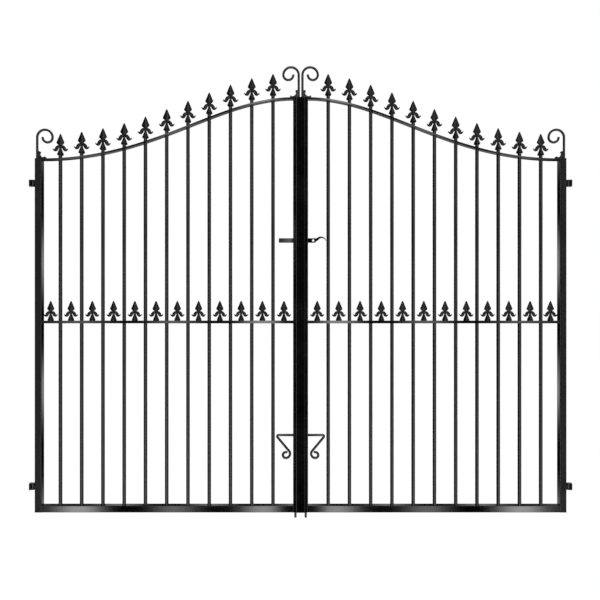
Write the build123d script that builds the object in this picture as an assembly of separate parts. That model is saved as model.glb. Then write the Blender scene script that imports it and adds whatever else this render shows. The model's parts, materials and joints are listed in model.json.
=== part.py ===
from build123d import *
import math
import os

# A pair of wrought iron driveway gate leaves with a bell-curved top, hung on weld-on hinge brackets.
# X runs across the opening, Y points into the drive and Z is up; every size is in millimetres.

# Number of sides that round parts are drawn with
round_sides = 12
bent_sides = 6

# Opening between the two pillar faces, and how each leaf hangs in it
opening_width = 2400.0
pin_to_pillar = 15.0
pin_to_stile = 15.0
pin_setback = 5.0
leaf_gap = 6.0

# Square tube frame of a leaf
hinge_stile_height = 1559.0
meeting_stile_height = 1828.0
frame_section = 30.0
frame_wall = 2.5
frame_corner = 1.5
cap_thickness = 3.0

# Flat rails that the pickets pass through
rail_depth = 25.0
mid_rail_thickness = 12.0
mid_rail_underside = 832.0
top_rail_thickness = 8.0
meeting_end_share = 0.3026
hinge_end_share = 0.4463

# Round pickets
picket_diameter = 16.0
picket_spacing = 94.0
first_picket_from_stile = 78.0
last_picket_from_stile = 89.0
picket_hole_clearance = 0.25
first_picket_above_rail = 16.5
last_picket_above_rail = 20.5

# Cast spear head
head_height = 95.0
mid_head_scale = 0.91
spear_width = 33.0
spear_depth = 12.0
spear_bevel = 38.0
spear_widest_height = 58.3
neck_height = 40.0
neck_width = 11.0
arm_depth = 8.0
waist_height = 29.0
waist_radius = 4.4
collar_height = 6.0
collar_radius = 14.4
collar_sides = 6

# Scrolls that stand on the stiles
scroll_bar_width = 10.5
scroll_outer_radius = 34.0
scroll_inner_radius = 22.0
hinge_scroll_rise = 95.0
meeting_scroll_rise = 102.0

# Small corner brackets at the feet of the scrolls
foot_reach = 33.0
foot_leg = 6.0
foot_lip = 9.0
foot_lip_length = 6.0
foot_lip_from_end = 1.0
foot_inner_radius = 18.0
foot_depth = 16.0
foot_clearance = 0.2

# Hinge eyes, pins and brackets
lower_hinge_height = 110.0
upper_hinge_from_top = 107.0
barrel_diameter = 16.0
barrel_height = 19.0
lug_thickness = 5.0
hinge_gap = 0.5
pin_diameter = 10.0
eye_clearance = 0.1
lug_clearance = 0.05
neck_tall = 13.0
neck_deep = 10.0
plate_thickness = 6.0
plate_depth = 20.0

# Cover strip in front of the gap between the leaves, fixed to the left leaf
strip_width = 38.0
strip_thickness = 5.0
strip_standoff = 5.0
strip_bevel = 1.5
strip_end_margin = 2.0
spacer_width = 10.0

# Flat slide latch behind the meeting stiles
latch_height = 1200.0
latch_tall = 20.0
latch_thick = 6.0
latch_left_reach = 97.0
latch_right_reach = 62.0
latch_clearance = 0.5
strap_thickness = 3.0
strap_width = 24.0
strap_flange = 14.0
padlock_hole_diameter = 10.0
padlock_hole_from_middle = 56.0
tail_root = 72.0
tail_thick = 8.0
tail_rise = 8.0
tail_reach = 42.0
tail_drop = 2.0

# Drop bolts behind the meeting stiles
bolt_diameter = 11.0
bolt_tip_diameter = 10.4
bolt_tip_length = 36.0
bolt_tip_chamfer = 1.5
bolt_from_middle = 23.0
bolt_guide_width = 20.0
bolt_guide_depth = 20.0
bolt_guide_tall = 15.0
bolt_guide_clearance = 0.3
lower_guide_height = 60.0
upper_guide_height = 307.0

# Handle of a drop bolt, folded back into a scroll
handle_height = 332.0
handle_bend_radius = 12.0
handle_reach = 111.0
handle_corner_radius = 6.0
handle_scroll_from_middle = 66.0
handle_scroll_bottom = 229.5
handle_scroll_radius = 19.0
handle_curl_radius = 13.0
handle_end_radius = 8.0
handle_end_turn = 50.0

# Places worked out from the sizes above
pillar_face = opening_width / 2
pin_place = pillar_face - pin_to_pillar
hinge_stile_outer = pin_place - pin_to_stile
hinge_stile_inner = hinge_stile_outer - frame_section
meeting_stile_outer = leaf_gap / 2
meeting_stile_inner = meeting_stile_outer + frame_section
front_face = -frame_section / 2
back_face = frame_section / 2
mid_rail_top = mid_rail_underside + mid_rail_thickness
rail_high_end = meeting_stile_height - top_rail_thickness / 2
rail_low_end = hinge_stile_height - top_rail_thickness / 2
first_picket = hinge_stile_inner - first_picket_from_stile
last_picket = meeting_stile_inner + last_picket_from_stile
picket_gaps = round((first_picket - last_picket) / picket_spacing)
picket_pitch = (first_picket - last_picket) / picket_gaps
clear_width = hinge_stile_inner - meeting_stile_inner
meeting_end_handle = meeting_stile_inner + meeting_end_share * clear_width
hinge_end_handle = hinge_stile_inner - hinge_end_share * clear_width
upper_hinge_height = hinge_stile_height - upper_hinge_from_top
bolt_setback = back_face + bolt_guide_depth / 2
latch_front = back_face + latch_clearance
bracket_height = barrel_height + 2 * (hinge_gap + lug_thickness)
origin = (-pillar_face, pin_setback, lower_hinge_height)


# Shared shapes

def block(low, high):
    """Box between two opposite corners."""
    size = [b - a for a, b in zip(low, high)]
    middle = [(a + b) / 2 for a, b in zip(low, high)]
    return Pos(*middle) * Box(*size)


def upright_face(outline):
    """Outline drawn in X and Z, turned into a face that stands in the plane of the gate."""
    return make_face(Plane.XZ * outline)


def both_sides(half):
    """Closed outline from its right half, given from top to bottom."""
    left = [(-across, up) for across, up in reversed(half) if across > 0]
    return Polyline(*half, *left, close=True)


def bent_section(width):
    """Section of a bent round bar, drawn with few sides."""
    return RegularPolygon(width / 2, bent_sides, major_radius=False, rotation=180 / bent_sides)


def round_bore(diameter, length):
    """Prism that cuts a bore, with sides that clear the given diameter."""
    section = RegularPolygon(diameter / 2, round_sides, major_radius=False)
    return extrude(section, amount=length / 2, both=True)


# Where the pickets stand and how high the top rail is there

def picket_places():
    """Distance of each picket's axis from the middle of the opening."""
    return [first_picket - picket_pitch * number for number in range(picket_gaps + 1)]


def rail_curve_point(share):
    """Distance from the middle and height of the top rail's centre line, from 0 at the meeting stile to 1."""
    rest = 1 - share
    place = (
        rest**3 * meeting_stile_inner
        + 3 * rest**2 * share * meeting_end_handle
        + 3 * rest * share**2 * hinge_end_handle
        + share**3 * hinge_stile_inner
    )
    fall = 3 * share**2 - 2 * share**3
    return place, rail_high_end + fall * (rail_low_end - rail_high_end)


def rail_height(place):
    """Height of the top rail's centre line at a distance from the middle, found by halving."""
    low, high = 0.0, 1.0
    for _ in range(40):
        share = (low + high) / 2
        if rail_curve_point(share)[0] < place:
            low = share
        else:
            high = share
    return rail_curve_point(low)[1]


def picket_top(place):
    """Height at which a picket ends, above the top rail by a little more towards the middle."""
    share = (first_picket - place) / (first_picket - last_picket)
    gain = share * (last_picket_above_rail - first_picket_above_rail)
    return rail_height(place) + first_picket_above_rail + gain


# Frame

def tube_outline():
    """Outer outline of the square tube, with eased corners."""
    square = Rectangle(frame_section, frame_section)
    return chamfer(square.vertices(), frame_corner)


def tube_section():
    """Section of the square tube."""
    inside = frame_section - 2 * frame_wall
    return tube_outline() - Rectangle(inside, inside)


def stile(near_face, height):
    """Upright tube that stands between its two cap plates; near_face is its face nearer the middle."""
    tube = extrude(tube_section(), amount=height - 2 * cap_thickness)
    return [Pos(near_face + frame_section / 2, 0, cap_thickness) * tube]


def stile_caps():
    """Plates that close both ends of the hinge stile and of the meeting stile."""
    plate = extrude(tube_outline(), amount=cap_thickness)
    places = (
        (hinge_stile_inner, 0),
        (hinge_stile_inner, hinge_stile_height - cap_thickness),
        (meeting_stile_outer, 0),
        (meeting_stile_outer, meeting_stile_height - cap_thickness),
    )
    return [Pos(near_face + frame_section / 2, 0, height) * plate for near_face, height in places]


def bottom_rail():
    """Tube that runs along the bottom from stile to stile."""
    tube = extrude(Plane.YZ * tube_section(), amount=clear_width)
    return [Pos(meeting_stile_inner, 0, frame_section / 2) * tube]


def picket_section(clearance=0.0):
    """Section of a picket, or of its hole in a rail."""
    return RegularPolygon(picket_diameter / 2 + clearance, round_sides)


def punched(bar, height_at, depth):
    """A flat rail with a hole for every picket."""
    punch = extrude(picket_section(picket_hole_clearance), amount=depth, both=True)
    for place in picket_places():
        bar -= Pos(place, 0, height_at(place)) * punch
    return [bar]


def mid_rail():
    """Punched flat bar across the middle of the leaf."""
    low = (meeting_stile_inner, -rail_depth / 2, mid_rail_underside)
    bar = block(low, (hinge_stile_inner, rail_depth / 2, mid_rail_top))
    return punched(bar, lambda place: mid_rail_underside, 2 * mid_rail_thickness)


def top_rail():
    """Punched flat bar bent to the bell curve, level where it meets each stile."""
    curve = Bezier(
        (meeting_stile_inner, 0, rail_high_end),
        (meeting_end_handle, 0, rail_high_end),
        (hinge_end_handle, 0, rail_low_end),
        (hinge_stile_inner, 0, rail_low_end),
    )
    start = Plane((meeting_stile_inner, 0, rail_high_end), x_dir=(0, 1, 0), z_dir=(1, 0, 0))
    bar = sweep(start * Rectangle(rail_depth, top_rail_thickness), path=curve)
    return punched(bar, rail_height, 2 * top_rail_thickness)


def pickets():
    """Round bars from the bottom rail up through both flat rails."""
    bars = []
    for place in picket_places():
        bar = extrude(picket_section(), amount=picket_top(place) - frame_section)
        bars.append(Pos(place, 0, frame_section) * bar)
    return bars


# Spear heads

def head_blade():
    """Spear blade with bevelled edges."""
    half = [(0, head_height), (spear_width / 2, spear_widest_height), (neck_width / 2, neck_height)]
    return extrude(upright_face(both_sides(half)), amount=spear_depth / 2, taper=spear_bevel, both=True)


def head_arms():
    """Pair of curled arms that leave the neck, dip outside it and end in raised tips."""
    half = [(neck_width / 2 - 1, neck_height + 4), (neck_width / 2, neck_height - 1), (14.0, 44.5),
            (23.5, 38.0), (25.0, 27.0), (34.5, 27.5), (23.0, 17.5), (waist_radius, waist_height)]
    return extrude(upright_face(both_sides(half)), amount=arm_depth / 2, both=True)


def head_foot():
    """Skirt that flares from the waist to the collar, and the bevel below it."""
    flat_share = math.cos(math.pi / collar_sides)
    turned = 180 / collar_sides
    skirt_height = waist_height + 1 - collar_height
    skirt_lean = math.degrees(math.atan((collar_radius - waist_radius) * flat_share / skirt_height))
    bevel_lean = math.degrees(math.atan((collar_radius - picket_diameter / 2) * flat_share / collar_height))
    collar = RegularPolygon(collar_radius, collar_sides, rotation=turned)
    base = RegularPolygon(picket_diameter / 2, collar_sides, rotation=turned)
    skirt = extrude(collar, amount=skirt_height, taper=skirt_lean)
    bevel = extrude(base, amount=collar_height, taper=-bevel_lean)
    return Pos(0, 0, collar_height) * skirt + bevel


def spear_head():
    """Cast head that stands with its foot on the XY plane."""
    return head_blade() + head_arms() + head_foot()


def top_heads():
    """A head on the upper end of every picket."""
    head = spear_head()
    return [Pos(place, 0, picket_top(place)) * head for place in picket_places()]


def mid_heads():
    """Smaller heads on the mid rail, in the middle of each clear gap."""
    small = scale(spear_head(), by=mid_head_scale)
    in_line = picket_places()
    half = picket_diameter / 2
    places = [(hinge_stile_inner + in_line[0] + half) / 2]
    places += [(a + b) / 2 for a, b in zip(in_line, in_line[1:])]
    places.append((in_line[-1] - half + meeting_stile_inner) / 2)
    return [Pos(place, 0, mid_rail_top) * small for place in places]


# Scrolls and the brackets at their feet

def scroll(stem_place, stile_height, rise, inward):
    """Bar that rises from a stile and curls over its own leaf; inward is 1 towards +X."""
    centre = stile_height + rise
    step = scroll_outer_radius - scroll_inner_radius
    first_middle = stem_place + inward * scroll_outer_radius
    second_middle = first_middle + inward * step
    base = (stem_place, 0, stile_height)
    shoulder = (stem_place, 0, centre)
    crown = (first_middle, 0, centre + scroll_outer_radius)
    far = (first_middle + inward * scroll_outer_radius, 0, centre)
    dip = (second_middle, 0, centre - scroll_inner_radius)
    end = (second_middle - inward * scroll_inner_radius, 0, centre)
    path = Wire([
        Line(base, shoulder).edge(),
        ThreePointArc(shoulder, crown, far).edge(),
        ThreePointArc(far, dip, end).edge(),
    ])
    return sweep(Pos(*base) * bent_section(scroll_bar_width), path=path)


def scroll_stem_place(outer_face, inward):
    """Middle of a scroll's stem, flush with the stile's face that looks away from the curl."""
    return outer_face + inward * scroll_bar_width / 2


def scrolls():
    """One scroll on the hinge stile and one on the meeting stile."""
    hinge_stem = scroll_stem_place(hinge_stile_outer, -1)
    meeting_stem = scroll_stem_place(meeting_stile_outer, 1)
    return [
        scroll(hinge_stem, hinge_stile_height, hinge_scroll_rise, -1),
        scroll(meeting_stem, meeting_stile_height, meeting_scroll_rise, 1),
    ]


def scroll_foot(outer_face, stile_height, inward):
    """Small L-shaped bracket with a lip near each end, in the corner beside a scroll's stem."""
    corner = foot_leg + foot_inner_radius
    lip_end = foot_reach - foot_lip_from_end
    lip_start = lip_end - foot_lip_length
    level_side = [(corner, foot_leg), (lip_start, foot_leg), (lip_start + 1, foot_lip),
                  (lip_end, foot_lip), (foot_reach, foot_leg), (foot_reach, 0)]
    upright_side = [(b, a) for a, b in level_side]
    lines = Curve() + [
        Polyline((0, 0), *reversed(level_side)),
        RadiusArc(level_side[0], upright_side[0], foot_inner_radius),
        Polyline(*upright_side, (0, 0)),
    ]
    bracket = extrude(upright_face(lines), amount=foot_depth / 2, both=True)
    if inward < 0:
        bracket = mirror(bracket, about=Plane.YZ)
    stem = scroll_stem_place(outer_face, inward)
    place = stem + inward * (scroll_bar_width / 2 + foot_clearance)
    return Pos(place, 0, stile_height + foot_clearance) * bracket


def scroll_feet():
    """A corner bracket at the foot of each scroll."""
    return [
        scroll_foot(hinge_stile_outer, hinge_stile_height, -1),
        scroll_foot(meeting_stile_outer, meeting_stile_height, 1),
    ]


# Hinges

def at_hinges(piece):
    """Copies of a piece at the lower and the upper hinge."""
    return [Pos(pin_place, pin_setback, height) * piece for height in (lower_hinge_height, upper_hinge_height)]


def hinge_eye():
    """Barrel on the hinge pin, with the short neck that is welded to the stile."""
    barrel = extrude(RegularPolygon(barrel_diameter / 2, round_sides), amount=barrel_height / 2, both=True)
    neck = Pos(-pin_to_stile / 2, 0, 0) * Box(pin_to_stile, neck_deep, neck_tall)
    return barrel + neck - round_bore(pin_diameter + 2 * eye_clearance, 2 * barrel_height)


def hinge_bracket():
    """Weld-on plate with a lug above and a lug below the barrel."""
    arm = Pos(pin_to_pillar / 2, 0) * Rectangle(pin_to_pillar, barrel_diameter)
    lug = extrude(RegularPolygon(barrel_diameter / 2, round_sides) + arm, amount=lug_thickness)
    plate = Pos(pin_to_pillar - plate_thickness / 2, 0, 0) * Box(plate_thickness, plate_depth, bracket_height)
    body = plate + Pos(0, 0, bracket_height / 2 - lug_thickness) * lug
    body += Pos(0, 0, -bracket_height / 2) * lug
    return body - round_bore(pin_diameter + 2 * lug_clearance, 2 * bracket_height)


def hinge_pin():
    """Plain round pin through both lugs and the barrel."""
    return extrude(RegularPolygon(pin_diameter / 2, round_sides), amount=bracket_height / 2, both=True)


# Cover strip over the gap between the leaves

def cover_strip():
    """Flat bar in front of both meeting stiles, held off the left one by a narrow spacer."""
    foot = strip_end_margin
    top = meeting_stile_height - strip_end_margin
    back = front_face - strip_standoff
    flat = block((-strip_width / 2, back - strip_thickness, foot), (strip_width / 2, back, top))
    front_edges = flat.faces().sort_by(Axis.Y)[0].edges()
    flat = chamfer(front_edges, strip_bevel)
    middle = -(meeting_stile_outer + strip_width / 2) / 2
    half = spacer_width / 2
    spacer = block((middle - half, back, foot), (middle + half, front_face, top))
    return [flat + spacer]


# Slide latch, its guide and its keep

def slide_latch():
    """Flat bar with a plain end, a padlock hole and a tapering curled tail."""
    half = latch_tall / 2
    ramp_end = (tail_root + tail_thick, half * 0.3)
    crest = tail_root + tail_reach * 0.45
    end = tail_root + tail_reach
    blunt_end = (end - tail_drop, -tail_drop)
    sharp_end = (end, -tail_drop / 2)
    outline = Curve() + [
        Polyline((tail_root, half), (-latch_left_reach, half), (-latch_left_reach, -half),
                 (latch_right_reach, -half), ramp_end),
        ThreePointArc(ramp_end, (crest, half + tail_rise - tail_thick), blunt_end),
        Line(blunt_end, sharp_end),
        ThreePointArc(sharp_end, (crest, half + tail_rise), (tail_root, half)),
    ]
    bar = extrude(upright_face(outline), amount=-latch_thick)
    drill = Rot(90, 0, 0) * Cylinder(padlock_hole_diameter / 2, 3 * latch_thick)
    hole = Pos(padlock_hole_from_middle, latch_thick / 2, 0) * drill
    return [Pos(0, latch_front, latch_height) * (bar - hole)]


def latch_strap(side):
    """Hat-shaped strap that holds the latch bar behind a stile; side is 1 on the right leaf, -1 on the left."""
    half_width = strap_width / 2
    inner_half = latch_tall / 2 + latch_clearance
    outer_half = inner_half + strap_thickness
    inner_depth = latch_thick + 2 * latch_clearance
    outer_depth = inner_depth + strap_thickness
    flange_half = outer_half + strap_flange
    hat = block((-half_width, 0, -outer_half), (half_width, outer_depth, outer_half))
    hat += block((-half_width, 0, -flange_half), (half_width, strap_thickness, flange_half))
    hat -= block((-strap_width, -1, -inner_half), (strap_width, inner_depth, inner_half))
    middle = side * (meeting_stile_outer + frame_section / 2)
    return [Pos(middle, back_face, latch_height) * hat]


# Drop bolts

def turn_point(centre, radius, degrees):
    """Point on a circle drawn in the plane of the gate."""
    angle = math.radians(degrees)
    return Vector(centre.X + radius * math.cos(angle), centre.Y + radius * math.sin(angle))


def handle_path():
    """Centre line of the handle: out to a corner, back on a slant and round a tightening scroll."""
    bend = Vector(bolt_from_middle + handle_bend_radius, handle_height - handle_bend_radius)
    outer = Vector(handle_scroll_from_middle, handle_scroll_bottom + handle_scroll_radius)
    curl = Vector(handle_scroll_from_middle, handle_scroll_bottom + handle_curl_radius)
    last = Vector(handle_scroll_from_middle, handle_scroll_bottom + 2 * handle_curl_radius - handle_end_radius)
    corner = Vector(handle_reach, handle_height)
    slope = corner - outer
    lean = math.degrees(math.atan2(slope.Y, slope.X) + math.acos(handle_scroll_radius / slope.length))
    touch = turn_point(outer, handle_scroll_radius, lean)
    back = (touch - corner).normalized()
    setback = handle_corner_radius * math.tan(math.acos(back.X) / 2)
    corner_start = corner - Vector(setback, 0)
    corner_middle = corner_start - Vector(0, handle_corner_radius)
    corner_crest = corner_middle + (corner - corner_middle).normalized() * handle_corner_radius
    corner_end = corner + back * setback
    side_start = turn_point(bend, handle_bend_radius, 180)
    side_end = turn_point(bend, handle_bend_radius, 90)
    bottom = turn_point(outer, handle_scroll_radius, 270)
    top = turn_point(curl, handle_curl_radius, 90)
    pieces = [
        ThreePointArc(side_start, turn_point(bend, handle_bend_radius, 135), side_end),
        Line(side_end, corner_start),
        ThreePointArc(corner_start, corner_crest, corner_end),
        Line(corner_end, touch),
        ThreePointArc(touch, turn_point(outer, handle_scroll_radius, 180), bottom),
        ThreePointArc(bottom, turn_point(curl, handle_curl_radius, 0), top),
        ThreePointArc(top, turn_point(last, handle_end_radius, 90 + handle_end_turn / 2),
                      turn_point(last, handle_end_radius, 90 + handle_end_turn)),
    ]
    return Wire([(Plane.XZ * piece).edge() for piece in pieces])


def drop_bolt():
    """Round rod with a turned tip, bent over at the top into its scrolled handle."""
    straight = handle_height - handle_bend_radius
    tip = extrude(Circle(bolt_tip_diameter / 2), amount=-bolt_tip_length)
    tip = chamfer(tip.edges().group_by(Axis.Z)[0], bolt_tip_chamfer)
    rod = extrude(RegularPolygon(bolt_diameter / 2, round_sides), amount=straight)
    handle_start = Pos(bolt_from_middle, 0, straight) * bent_section(bolt_diameter)
    handle = sweep(handle_start, path=handle_path())
    return [Pos(0, bolt_setback, 0) * (Pos(bolt_from_middle, 0, 0) * (rod + tip) + handle)]


def bolt_guides():
    """Two drilled blocks on the back of the meeting stile that the drop bolt slides in."""
    guide = Box(bolt_guide_width, bolt_guide_depth, bolt_guide_tall)
    guide -= round_bore(bolt_diameter + 2 * bolt_guide_clearance, 2 * bolt_guide_tall)
    heights = (lower_guide_height, upper_guide_height)
    return [Pos(bolt_from_middle, bolt_setback, height) * guide for height in heights]


# Whole gate

def leaf_pieces():
    """Every piece of the right side that the left side has too, by name."""
    return {
        "hinge_stile": stile(hinge_stile_inner, hinge_stile_height),
        "meeting_stile": stile(meeting_stile_outer, meeting_stile_height),
        "stile_caps": stile_caps(),
        "bottom_rail": bottom_rail(),
        "mid_rail": mid_rail(),
        "top_rail": top_rail(),
        "pickets": pickets(),
        "top_heads": top_heads(),
        "mid_heads": mid_heads(),
        "scrolls": scrolls(),
        "scroll_feet": scroll_feet(),
        "hinge_eyes": at_hinges(hinge_eye()),
        "hinge_brackets": at_hinges(hinge_bracket()),
        "hinge_pins": at_hinges(hinge_pin()),
        "bolt_guides": bolt_guides(),
        "drop_bolt": drop_bolt(),
    }


def gate_pieces():
    """All pieces of the gate, by the name of their node."""
    pieces = {}
    for name, solids in leaf_pieces().items():
        pieces["right_" + name] = solids
        pieces["left_" + name] = [mirror(solid, about=Plane.YZ) for solid in solids]
    pieces["left_cover_strip"] = cover_strip()
    pieces["left_latch_keep"] = latch_strap(-1)
    pieces["right_latch_guide"] = latch_strap(1)
    pieces["slide_latch"] = slide_latch()
    return pieces


def write_node(name, solids):
    """Move a node's solids so that the lower left bracket's back face is the origin, and save them."""
    shift = Pos(*[-value for value in origin])
    moved = [shift * piece for solid in solids for piece in solid.solids()]
    shape = moved[0] if len(moved) == 1 else Compound(children=moved)
    export_step(shape, os.path.join("parts", name + ".step"))


os.makedirs("parts", exist_ok=True)
for node_name, node_solids in gate_pieces().items():
    write_node(node_name, node_solids)
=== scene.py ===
"""Looks of a pair of wrought iron driveway gate leaves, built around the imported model."""

from __future__ import annotations

import json
import logging
import math
from collections.abc import Callable, Iterable, Mapping, Sequence
from dataclasses import dataclass, field
from enum import Enum
from typing import Any

import bmesh
import bpy
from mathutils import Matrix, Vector

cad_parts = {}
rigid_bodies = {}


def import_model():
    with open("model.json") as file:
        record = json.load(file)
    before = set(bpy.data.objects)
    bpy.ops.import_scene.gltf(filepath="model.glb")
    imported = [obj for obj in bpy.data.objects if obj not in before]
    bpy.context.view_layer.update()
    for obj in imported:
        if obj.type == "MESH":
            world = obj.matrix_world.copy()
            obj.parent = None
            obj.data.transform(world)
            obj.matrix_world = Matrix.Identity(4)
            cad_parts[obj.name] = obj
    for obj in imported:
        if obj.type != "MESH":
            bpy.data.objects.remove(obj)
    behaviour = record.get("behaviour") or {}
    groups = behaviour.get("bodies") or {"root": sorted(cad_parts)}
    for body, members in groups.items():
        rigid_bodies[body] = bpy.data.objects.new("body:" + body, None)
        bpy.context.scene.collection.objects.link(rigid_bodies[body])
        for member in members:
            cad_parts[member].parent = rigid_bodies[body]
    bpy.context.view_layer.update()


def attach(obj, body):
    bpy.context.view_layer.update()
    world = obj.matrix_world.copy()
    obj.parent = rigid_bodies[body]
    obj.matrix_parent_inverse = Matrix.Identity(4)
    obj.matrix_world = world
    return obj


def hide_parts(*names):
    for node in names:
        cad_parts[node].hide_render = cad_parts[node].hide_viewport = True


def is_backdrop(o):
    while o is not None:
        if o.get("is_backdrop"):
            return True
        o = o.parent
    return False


log = logging.getLogger("gate")

Point = tuple[float, float, float]
Flat = tuple[float, float]
Stops = tuple[Flat, ...]

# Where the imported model's origin lies in gate millimetres.
ORIGIN: Point = (-1200.0, 5.0, 110.0)
MM_PER_METRE = 1000.0
INTO_DRIVE: Point = (0, 1, 0)
UP: Point = (0, 0, 1)
# Degrees between two faces above which their edge stays sharp.
CREASE = 38.0


class Side(Enum):
    """The leaf that a piece belongs to, and the sign of its X."""

    LEFT = -1
    RIGHT = 1

    @property
    def word(self) -> str:
        """Name used in node and piece names."""
        return self.name.lower()


class Facing(Enum):
    """The plane that an outline is drawn in."""

    FRONT = "across and up, thick into the drive"
    LEVEL = "across and into the drive, thick upwards"
    EDGE = "into the drive and up, thick across"

    def place(self, first: float, second: float, depth: float) -> Point:
        """Turn a point of the outline and a depth into gate millimetres.

        Args:
            first: First number of the outline's point.
            second: Its second number.
            depth: Distance at right angles to the plane.

        Returns:
            The point.
        """
        if self is Facing.FRONT:
            return (first, depth, second)
        if self is Facing.LEVEL:
            return (first, second, depth)
        return (depth, first, second)


def arc(centre: Flat, radius: float, start: float, end: float, steps: int) -> list[Flat]:
    """Points on a circle between two angles.

    Args:
        centre: Middle of the circle.
        radius: Its radius.
        start: First angle in degrees.
        end: Last angle in degrees.
        steps: Number of equal steps between them.

    Returns:
        The points, both ends among them.
    """
    angles = [math.radians(start + (end - start) * i / steps) for i in range(steps + 1)]
    return [(centre[0] + radius * math.cos(a), centre[1] + radius * math.sin(a)) for a in angles]


def hole(centre: Flat, radius: float, sides: int) -> list[Flat]:
    """Outline of a round hole."""
    return arc(centre, radius, 0, 360 * (sides - 1) / sides, sides - 1)


def eased_rectangle(width: float, height: float, corner: float, steps: int) -> list[Flat]:
    """Outline of a rectangle round the origin with rounded corners.

    Args:
        width: Full width.
        height: Full height.
        corner: Radius of the corners.
        steps: Steps in each corner.

    Returns:
        The outline, anticlockwise.
    """
    x, y = width / 2 - corner, height / 2 - corner
    corners = ((x, y, 0), (-x, y, 90), (-x, -y, 180), (x, -y, 270))
    return [p for cx, cy, turn in corners for p in arc((cx, cy), corner, turn, turn + 90, steps)]


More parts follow.
